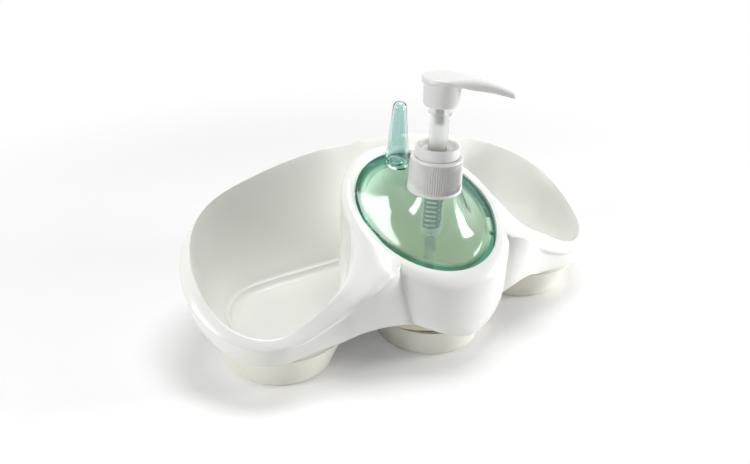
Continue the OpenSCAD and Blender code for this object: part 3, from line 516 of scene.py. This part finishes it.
def lid_line(a):
    """One slice of the lid, from the neck bore over the boss and dome to the rim and back."""
    ca, sa = cos(a), sin(a)
    line = [Vector((r * ca, PUMP_Y + r * sa, z)) for r, z in [
        (NECK_BORE, NECK_LOW), (NECK_BORE, NECK_TOP - .3), (NECK_BORE + .3, NECK_TOP),
        (NECK_R - .3, NECK_TOP), (NECK_R, NECK_TOP - .3), (NECK_R, BOSS_TOP),
        (BOSS_R - .2, BOSS_TOP)]]
    boss_edge = BOSS_R + .02
    dome_edge = LID_R - LID_EDGE_R
    inner = Vector((boss_edge * ca, PUMP_Y + boss_edge * sa, 0))
    outer = Vector((dome_edge * ca, TURRET_Y + dome_edge * sa, 0))
    for i in range(41):
        p = inner.lerp(outer, (i / 40) ** 1.7)
        p.z = lid_z(p.x, p.y)
        line.append(p)
    # Rounded upper edge, upright rim, rounded lower edge and the plug
    fall = line[-1].z - slanted(a, dome_edge, 0).z
    for q in range(15, 91, 15):
        r = dome_edge + LID_EDGE_R * sin(radians(q))
        line.append(slanted(a, r, -fall * (1 - q / 90) + LID_EDGE_R * (1 - cos(radians(q)))))
    line += [slanted(a, LID_R, d) for d in (2.2, 3, LID_DROP - 1.2)]
    line += [slanted(a, LID_R - 1.2 * (1 - cos(radians(q))), LID_DROP - 1.2 + 1.2 * sin(radians(q)))
             for q in (30, 60, 90)]
    line += [slanted(a, PLUG_R + .4, LID_DROP), slanted(a, PLUG_R + .2, LID_DROP - .2)]
    wall = Vector((PLUG_R * ca, TURRET_Y + PLUG_R * sa, 0))
    for i in range(30):
        p = wall.lerp(inner, 1 - (1 - i / 29) ** 1.3)
        line.append(under_lid(p.x, p.y))
    r = NECK_BORE + .2
    return line + [Vector((r * ca, PUMP_Y + r * sa, NECK_LOW))]


lid_turns = 180
lid_lines = [lid_line(2 * pi * i / lid_turns) for i in range(lid_turns)]
lid_mesh = bpy.data.meshes.new("green_lid")
lid_mesh.from_pydata([p * MM for line in lid_lines for p in line], [],
                     ring_faces(lid_turns, len(lid_lines[0])))
green_lid = bpy.data.objects.new("green_lid", lid_mesh)
bpy.context.collection.objects.link(green_lid)
tidy_mesh(green_lid, 45)


def clear_plastic(name, face, rim, shine, bend=1.04, centre=(0, 0), start=99, full=100):
    """Tinted transparent plastic. The wall is thin, so it hardly bends what is seen through
    it, and its skin carries the reflections. The tint deepens towards a thick edge, over the
    given radii in millimetres. Lamps shine through it, as they do through the real one."""
    made = bpy.data.materials.new(name)
    made.use_nodes = True
    tree = made.node_tree
    shader = tree.nodes["Principled BSDF"]
    for socket, value in {"Transmission Weight": 1.0, "IOR": bend, "Coat Weight": 1.0,
                          "Coat IOR": 1.55, "Coat Roughness": shine}.items():
        shader.inputs[socket].default_value = value
    place = add(tree, "ShaderNodeTexCoord").outputs["Object"]
    flat = add(tree, "ShaderNodeVectorMath", {1: (1 / MM, 1 / MM, 0)}, {0: place},
               operation="MULTIPLY")
    from_axis = add(tree, "ShaderNodeVectorMath", {1: (*centre, 0)}, {0: flat.outputs[0]},
                    operation="DISTANCE")
    edge = add(tree, "ShaderNodeMapRange", {"From Min": start, "From Max": full},
               {"Value": from_axis.outputs["Value"]}, interpolation_type="SMOOTHSTEP")
    tint = add(tree, "ShaderNodeMix", {6: colour(face), 7: colour(rim)}, {0: edge.outputs[0]},
               data_type="RGBA")
    wave = add(tree, "ShaderNodeTexNoise", {"Scale": 1 / (9 * MM), "Detail": 1}, {"Vector": place})
    gloss = add(tree, "ShaderNodeMapRange", {"To Min": .02, "To Max": .05},
                {"Value": wave.outputs["Fac"]})
    bump = add(tree, "ShaderNodeBump", {"Strength": .04, "Distance": .3 * MM},
               {"Height": wave.outputs["Fac"]})
    tree.links.new(tint.outputs[2], shader.inputs["Base Color"])
    tree.links.new(gloss.outputs[0], shader.inputs["Roughness"])
    tree.links.new(bump.outputs[0], shader.inputs["Normal"])
    tree.links.new(bump.outputs[0], shader.inputs["Coat Normal"])
    see_lamp = add(tree, "ShaderNodeBsdfTransparent", {"Color": colour("FAFDFC")})
    path = add(tree, "ShaderNodeLightPath")
    both = add(tree, "ShaderNodeMixShader", None,
               {0: path.outputs["Is Shadow Ray"], 1: shader.outputs[0], 2: see_lamp.outputs[0]})
    tree.links.new(both.outputs[0], tree.nodes["Material Output"].inputs["Surface"])
    return made


# Transparent SAN, polished: sage green where it is thin, deep teal through the thick rim
green_san = clear_plastic("clear_green_san", "C6E0DC", "0F6A52", shine=.1,
                          centre=(0, TURRET_Y), start=38.6, full=41.2)
green_lid.data.materials.append(green_san)
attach(green_lid, "lid")
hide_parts("tank_lid")

# Ring cone: hollow green SAN finger with a round tip, on which rings are hung. It is
# pushed over a short peg of the lid.
CONE_Y, CONE_Z, CONE_R, CONE_BORE, CONE_TAPER = 17.6, 98.4, 7.8, 6.2, 3.5
CONE_TOP, CONE_CEILING = CONE_Z + 39.6, CONE_Z + 38
cone_outline = [(CONE_R, CONE_Z)]
cone_outline += [(CONE_R - CONE_TAPER * t, CONE_Z + 35.4 * t) for t in (.2, .4, .6, .8)]
cone_outline += rounded(1, CONE_TOP - 3.3, 3.3, 5, 90, 8) + [(0, CONE_TOP), (0, CONE_CEILING)]
cone_outline += rounded(.6, CONE_CEILING - 2, 2, 90, 5, 6)
cone_outline += [(CONE_BORE - CONE_TAPER * t, CONE_Z + 35.2 * t) for t in (.8, .6, .4, .2)]
cone_outline += [(CONE_BORE, CONE_Z), (CONE_R, CONE_Z)]
ring_cone = turned("green_ring_cone", cone_outline, CONE_Y, 72)
# Its foot follows the dome of the lid
for v in ring_cone.data.vertices:
    if v.co.z < (CONE_Z + .1) * MM:
        v.co.z = (dome_z(v.co.x / MM, v.co.y / MM) + .02) * MM
# The same SAN, paler as its wall is thin; a cone bends what is seen through it a little
green_cone = clear_plastic("clear_green_san_cone", "CEE5E2", "CEE5E2", shine=.08, bend=1.3)
ring_cone.data.materials.append(green_cone)
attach(ring_cone, "lid")
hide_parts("ring_cone")

# The peg of the lid, inside the foot of the cone
PEG_R, PEG_TOP, PEG_ROUND = 3.4, CONE_Z + 3, .6
peg = turned("green_cone_peg", [
    (0, CONE_Z - 1), (PEG_R, CONE_Z - 1), (PEG_R, PEG_TOP - PEG_ROUND)]
    + rounded(PEG_R - PEG_ROUND, PEG_TOP - PEG_ROUND, PEG_ROUND, 0, 90, 4) + [(0, PEG_TOP)],
    CONE_Y, 48)
peg.data.materials.append(green_cone)
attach(peg, "lid")

# Pump cap: white polypropylene screw cap with fine upright ribs for grip, and a plain
# band at its foot. It is screwed on the neck of the lid.
CAP_Z, CAP_TOP, CAP_BORE, CAP_HOLE, CAP_ROOF = BOSS_TOP, 117.7, 13.9, 11.6, 3.6
cap_outline = [(CAP_BORE, CAP_Z), (15.7, CAP_Z), (15.95, CAP_Z + .2), (16, CAP_Z + .5),
               (16, CAP_Z + 1.5), (15.95, CAP_Z + 1.9)]
cap_outline += [(15.95 - .6 * t, CAP_Z + 1.9 + 17.7 * t) for t in (.02, .25, .5, .75, .98)]
cap_outline += [(15.3, CAP_TOP - 1.5)] + rounded(14.1, CAP_TOP - 1.2, 1.2, 0, 90, 5)
# A fine gap in the top parts the cap from the collar
cap_outline += [(13.2, CAP_TOP - .1), (13.1, CAP_TOP - .9), (12.4, CAP_TOP - .9), (12.3, CAP_TOP),
                (CAP_HOLE, CAP_TOP), (CAP_HOLE, CAP_TOP - CAP_ROOF),
                (CAP_BORE, CAP_TOP - CAP_ROOF), (CAP_BORE, CAP_Z)]
# Every fourth line of corners stands out as a rib, and those between are sunk by these depths
CAP_SEGMENTS, RIB_CUT = 288, (0, .6, 1.1, .6)
cap = turned("ribbed_cap", cap_outline, PUMP_Y, CAP_SEGMENTS, 50)
for v in cap.data.vertices:
    x, y, z = v.co.x / MM, v.co.y / MM - PUMP_Y, v.co.z / MM
    if hypot(x, y) > 15 and CAP_Z + 2 < z < CAP_TOP - 1.7:
        groove = RIB_CUT[round(atan2(y, x) / (2 * pi) * CAP_SEGMENTS) % 4]
        v.co.x -= groove * x / hypot(x, y) * MM
        v.co.y -= groove * y / hypot(x, y) * MM
# Polypropylene is a little waxy, so its gloss is broader than that of the body
white_pp = moulded("satin_white_polypropylene", "F2F2F1", "ECECEA", .24, .34, patch_mm=25,
                   ripple_mm=4, ripple=.04, IOR=1.49)
cap.data.materials.append(white_pp)
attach(cap, "lid")
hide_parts("closure_cap")

# Lock collar: white polypropylene ring on the cap, with a well in its top, out of which
# the stem rises through a low hub.
COLLAR_BORE, SLEEVE_LOW, COLLAR_TOP = 5.55, -13, 6.4
# (radius, height above the cap): guide sleeve in the cap, rim, well and hub
collar_outline = [(COLLAR_BORE, SLEEVE_LOW), (6.1, SLEEVE_LOW), (6.1, 0), (12.8, 0), (13, .2),
                  (12.7, 4.9)]
collar_outline += rounded(11.7, COLLAR_TOP - 1, 1, 0, 90, 6) + [(11.2, COLLAR_TOP)]
collar_outline += rounded(11, COLLAR_TOP - .5, .5, 90, 180, 4)
collar_outline += [(10.3, 3.6), (9.8, 3), (7.4, 2.8), (6.9, 3.2), (6.7, 3.9), (6.3, 4.2),
                   (5.9, 4.2), (5.6, 3.9), (COLLAR_BORE, SLEEVE_LOW)]
collar = turned("lock_collar_ring", [(r, CAP_TOP + z) for r, z in collar_outline], PUMP_Y, 120, 40)
collar.data.materials.append(white_pp)
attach(collar, "lid")
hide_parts("lock_collar")

# Pump cylinder, dip tube, seals and ball: mostly hidden, seen only through the lid. They
# stay as they were built, with their own finish. The cylinder is cloudy, so the spring shows.
clear_pp = moulded("cloudy_natural_polypropylene", "E9EDE6", "DFE4DC", .2, .3, patch_mm=15,
                   IOR=1.49, Alpha=.16)
for name in ("pump_housing", "dip_tube"):
    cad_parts[name].data.materials.clear()
    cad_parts[name].data.materials.append(clear_pp)
# Polyethylene, softer and duller, for what seals
soft_seal = moulded("pale_polyethylene_seal", "E9E9E4", "DEDED8", .4, .5, patch_mm=10, IOR=1.51)
for name in ("neck_gasket", "piston_seal", "valve_plug"):
    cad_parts[name].data.materials.clear()
    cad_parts[name].data.materials.append(soft_seal)
# Polished stainless steel ball, mirror-like
ball_steel = moulded("polished_stainless_steel", "C9CACB", "BFC1C3", .08, .14, patch_mm=4,
                     ripple_mm=1, Metallic=1.0)
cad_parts["check_ball"].data.materials.clear()
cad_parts["check_ball"].data.materials.append(ball_steel)

# Return spring: eight coils of drawn stainless wire in the pump cylinder. It pushes the piston up.
# Its wire is painted dark, as painted shade for the shade it lies in under the green lid.
WIRE_R, COIL_R, COILS, SPRING_LOW, SPRING_LEN = .7, 4.9, 8, 70, 25.5
bpy.ops.object.select_all(action="DESELECT")
bpy.ops.mesh.primitive_circle_add(vertices=10, radius=WIRE_R * MM, fill_type="NOTHING",
                                  rotation=(radians(90), 0, 0))
spring = bpy.context.object
spring.name = spring.data.name = "wire_spring"
bpy.ops.object.transform_apply(location=True, rotation=True, scale=True)
bpy.ops.object.mode_set(mode="EDIT")
bpy.ops.mesh.select_all(action="SELECT")
bpy.ops.transform.translate(value=(COIL_R * MM, 0, WIRE_R * MM))
bpy.ops.object.mode_set(mode="OBJECT")
coil = spring.modifiers.new("coil", "SCREW")
coil.screw_offset = (SPRING_LEN - 2 * WIRE_R) / COILS * MM
coil.iterations = COILS
coil.steps = coil.render_steps = 32
coil.use_merge_vertices = False
bpy.ops.object.modifier_apply(modifier="coil")
spring.location = (0, PUMP_Y * MM, SPRING_LOW * MM)
bpy.ops.object.transform_apply(location=True, rotation=False, scale=False)
bpy.ops.object.mode_set(mode="EDIT")
# The open ends of the wire are closed
bpy.ops.mesh.select_all(action="DESELECT")
bpy.ops.mesh.select_non_manifold()
bpy.ops.mesh.fill_holes(sides=0)
bpy.ops.object.mode_set(mode="OBJECT")
tidy_mesh(spring, 50)
# Drawn stainless wire, painted dark: its colour is painted shade for the shade under the lid
shade_darkened_wire = moulded("spring_wire_painted_shade", "303435", "26292A", .25, .4, patch_mm=3, ripple_mm=.5,
                     Metallic=1.0)
spring.data.materials.append(shade_darkened_wire)
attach(spring, "lid")
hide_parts("return_spring")
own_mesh(spring)

# Stem: a tube of natural polypropylene with a wider sleeve below the head. It carries
# the soap up and slides in the collar.
STEM_BORE, STEM_LOW, STEM_TOP, SLEEVE_R = 2.9, 99.9, 157.9, 6.6
stem = turned("pump_stem_tube", [
    (STEM_BORE, STEM_LOW), (4.5, STEM_LOW), (4.7, STEM_LOW + .2), (4.7, 103), (5.5, 104.4),
    (5.4, 141.4), (5.5, 142), (SLEEVE_R - .2, 142.6), (SLEEVE_R, 142.9), (SLEEVE_R, STEM_TOP),
    (STEM_BORE, STEM_TOP), (STEM_BORE, STEM_LOW)], PUMP_Y, 64, 40)
# Natural polypropylene, so milky that light spreads in it
milky_stem = moulded("milky_stem_polypropylene", "F6F7F4", "F0F2EF", .4, .5, patch_mm=12,
                     IOR=1.25, Transmission_Weight=.85)
stem.data.materials.append(milky_stem)
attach(stem, "head")
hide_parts("pump_stem")
# Painted shade: a grey plug inside the stem stands for the shade in its hollow bore, which shows
# through the milky wall
PLUG_LOW, PLUG_TOP, INNER_R = 137, 150, 2.7
bore_shade_plug = turned("stem_bore_shade_plug", [
    (0, PLUG_LOW), (INNER_R - .3, PLUG_LOW), (INNER_R, PLUG_LOW + .3), (INNER_R, PLUG_TOP),
    (0, PLUG_TOP)], PUMP_Y, 40)
# Grey colour painted for the shade in the bore
bore_shade_grey = moulded("painted_bore_shade_grey", "A9ACA6", "9EA19B", .3, .4, patch_mm=8, IOR=1.49)
bore_shade_plug.data.materials.append(bore_shade_grey)
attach(bore_shade_plug, "head")

# Pump head: white polypropylene, a round socket pushed on the stem under a thumb plate
# that runs out in a curved spout. Its top is crowned and its flanks are soft.
HEAD_TOP, SPOUT_DROP, SPOUT_REACH, THUMB_REACH, SPOUT_TURN = 164.5, 8.6, 41, 4, radians(-30)
SOCKET_BORE, SOCKET_LOW, SOCKET_TOP = 6.4, 147.6, 161.5
socket = turned("head_socket", [
    (SOCKET_BORE, SOCKET_LOW + .4), (SOCKET_BORE + .3, SOCKET_LOW), (8.5, SOCKET_LOW)]
    + rounded(8.5, SOCKET_LOW + 1.7, 1.7, -90, 0, 6)
    + [(10.3, 152), (10.4, 156), (10.5, SOCKET_TOP), (SOCKET_BORE, SOCKET_TOP),
       (SOCKET_BORE, SOCKET_LOW + .4)], 0, 96)
# Distance from the pump axis, and half the width of the plate there
stations = [(-11.8, .8), (-11.5, 2.6), (-10.8, 4.7), (-9.5, 7.0), (-7.5, 9.1), (-4.5, 10.9),
            (0, 11.8), (3, 11.4), (6, 10.4), (9, 9.1), (12, 8), (16, 6.9), (20, 6.1), (25, 5.4),
            (30, 4.8), (35, 4.2), (39, 3.7), (40.6, 3.2), (SPOUT_REACH, 2.6)]


def plate_top(s):
    """Height of the top of the thumb plate and spout at distance s from the pump axis."""
    t = max(0.0, s - THUMB_REACH) / (SPOUT_REACH - THUMB_REACH)
    return HEAD_TOP - SPOUT_DROP * t ** 2.2


def plate_depth(s):
    """Depth of the plate: 4 mm over the socket, 6 at the root of the spout, 3.6 at its tip."""
    if s < THUMB_REACH:
        return 4
    if s < 16:
        return 4 + 2 * (s - THUMB_REACH) / 12
    return 6 - 2.4 * ((s - 16) / 25) ** 2


RING_CORNERS = 28
bpy.ops.object.select_all(action="DESELECT")
bpy.ops.mesh.primitive_circle_add(vertices=RING_CORNERS, radius=MM, fill_type="NGON")
spout = bpy.context.object
spout.name = spout.data.name = "head_plate_and_spout"


def plate_ring(s, w):
    """Outline of the plate at one station: a crowned top with soft flanks, and a flat
    underside that is a little narrower."""
    top, thick = plate_top(s), plate_depth(s)
    soft, edge = min(w * .8, thick * .6), min(w * .5, .7)
    ring = []
    for side, upper, start in ((1, 1, 0), (-1, 1, 90), (-1, 0, 180), (1, 0, 270)):
        for i in range(7):
            q = radians(start + 15 * i)
            r = soft if upper else edge
            level_mid = top - soft if upper else top - thick + edge
            inset = 0 if upper else .12 * w
            across = side * (w - r - inset) + r * cos(q)
            ring.append(Vector((s, across, level_mid + r * sin(q))) * MM)
    return ring


bpy.ops.object.mode_set(mode="EDIT")
bpy.ops.mesh.select_all(action="SELECT")
for number, (s, w) in enumerate(stations):
    if number:
        bpy.ops.mesh.extrude_region_move(TRANSFORM_OT_translate={"value": (0, 0, MM)})
    shape = bmesh.from_edit_mesh(spout.data)
    ring = plate_ring(s, w)
    corners = [v for v in shape.verts if v.select]
    if number:
        lifted = [p + UP * MM for p in last_ring]
        for corner in corners:
            nearest = min(range(RING_CORNERS), key=lambda i: (lifted[i] - corner.co).length)
            corner.co = ring[nearest]
    else:
        corners.sort(key=lambda v: atan2(v.co.y, v.co.x) % (2 * pi))
        for corner, target in zip(corners, ring):
            corner.co = target
    bmesh.update_edit_mesh(spout.data)
    last_ring = ring
bpy.ops.object.mode_set(mode="OBJECT")
to_pump = Matrix.Translation((0, PUMP_Y * MM, 0))
spout.data.transform(to_pump @ Matrix.Rotation(SPOUT_TURN, 4, "Z"))
socket.data.transform(to_pump)
bpy.ops.object.select_all(action="DESELECT")
socket.select_set(True)
spout.select_set(True)
bpy.context.view_layer.objects.active = spout
bpy.ops.object.join()
head = spout
head.name = head.data.name = "pump_head"
tidy_mesh(head, 40)
head.data.materials.clear()
head.data.materials.append(white_pp)
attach(head, "head")
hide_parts("actuator_head")

# Floor: a matt white sheet, which fades to the white surround away from the object
bpy.ops.object.select_all(action="DESELECT")
bpy.ops.mesh.primitive_circle_add(vertices=96, radius=.7, fill_type="NGON")
floor = bpy.context.object
floor.name = floor.data.name = "studio_floor"
paper = bpy.data.materials.new("white_paper_sheet")
paper.use_nodes = True
tree = paper.node_tree
sheet = tree.nodes["Principled BSDF"]
sheet.inputs["Roughness"].default_value = .9
sheet.inputs["Specular IOR Level"].default_value = .1
place = add(tree, "ShaderNodeTexCoord").outputs["Object"]
fibre = add(tree, "ShaderNodeTexNoise", {"Scale": 40.0}, {"Vector": place})
tone = add(tree, "ShaderNodeMix", {6: colour("F3F3F3"), 7: colour("F0F0F1")},
           {0: fibre.outputs["Fac"]}, data_type="RGBA")
tree.links.new(tone.outputs[2], sheet.inputs["Base Color"])


def seen_rays(tree):
    """1 for what is seen, straight on, through plastic or mirrored, and 0 for plain light."""
    rays = add(tree, "ShaderNodeLightPath").outputs
    straight = add(tree, "ShaderNodeMath", None,
                   {0: rays["Is Camera Ray"], 1: rays["Is Transmission Ray"]}, operation="MAXIMUM")
    return add(tree, "ShaderNodeMath", None,
               {0: straight.outputs[0], 1: rays["Is Glossy Ray"]}, operation="MAXIMUM").outputs[0]


# Where it is seen, the sheet carries a little light of its own, and it fades to white
seen = seen_rays(tree)
glow = add(tree, "ShaderNodeEmission", {"Color": colour("FFFFFF")}, {"Strength": add(
    tree, "ShaderNodeMath", {1: .12}, {0: seen}, operation="MULTIPLY").outputs[0]})
lit = add(tree, "ShaderNodeAddShader", None, {0: sheet.outputs[0], 1: glow.outputs[0]})
away = add(tree, "ShaderNodeVectorMath", None, {0: place}, operation="LENGTH")
fade = add(tree, "ShaderNodeMapRange", {"From Min": .22, "From Max": .5},
           {"Value": away.outputs["Value"]}, interpolation_type="SMOOTHSTEP")
bare = add(tree, "ShaderNodeEmission", {"Color": colour("FFFFFF")}, {"Strength": seen})
faded = add(tree, "ShaderNodeMixShader", None,
            {0: fade.outputs[0], 1: lit.outputs[0], 2: bare.outputs[0]})
tree.links.new(faded.outputs[0], tree.nodes["Material Output"].inputs["Surface"])
floor.data.materials.append(paper)

# Light: an even surround, which looks white where it is seen, and three soft boxes, the
# strongest on the right
world = bpy.data.worlds.new("white_surround")
bpy.context.scene.world = world
world.use_nodes = True
tree = world.node_tree
tree.nodes.clear()
soft = add(tree, "ShaderNodeBackground", {"Color": colour("FFFFFF"), "Strength": .26})
plain = add(tree, "ShaderNodeBackground", {"Color": colour("FFFFFF"), "Strength": 1.0})
mixed = add(tree, "ShaderNodeMixShader", None,
            {0: seen_rays(tree), 1: soft.outputs[0], 2: plain.outputs[0]})
add(tree, "ShaderNodeOutputWorld", None, {"Surface": mixed.outputs[0]})


def soft_box(name, place, aim, width, height, watts):
    lamp = bpy.data.lights.new(name, "AREA")
    lamp.shape = "RECTANGLE"
    lamp.size, lamp.size_y, lamp.energy = width, height, watts
    lamp_object = bpy.data.objects.new(name, lamp)
    lamp_object.location = place
    lamp_object.rotation_euler = (Vector(aim) - Vector(place)).to_track_quat("-Z", "Y").to_euler()
    bpy.context.collection.objects.link(lamp_object)


soft_box("right_soft_box", (.86, -.4, .16), (0, 0, .05), .3, .3, 8.4)
soft_box("left_soft_box", (-.85, .05, .36), (0, 0, .05), .3, .3, 3.4)
soft_box("top_soft_box", (.1, .1, .9), (0, 0, .03), .5, .32, 4)

# Camera at the photograph's viewing angle
camera = bpy.data.cameras.new("photo_camera")
camera.lens = 35.53
camera.sensor_width = 36
photo_camera = bpy.data.objects.new("photo_camera", camera)
right, up = Vector((.8387, -.5434, .0366)), Vector((.2293, .4133, .8812))
ahead = Vector((.4940, .7307, -.4712))
photo_camera.matrix_world = Matrix((
    (right.x, up.x, -ahead.x, -.2505), (right.y, up.y, -ahead.y, -.3317),
    (right.z, up.z, -ahead.z, .2780), (0, 0, 0, 1)))
bpy.context.collection.objects.link(photo_camera)
bpy.context.scene.camera = photo_camera
bpy.context.scene.view_settings.view_transform = "Standard"
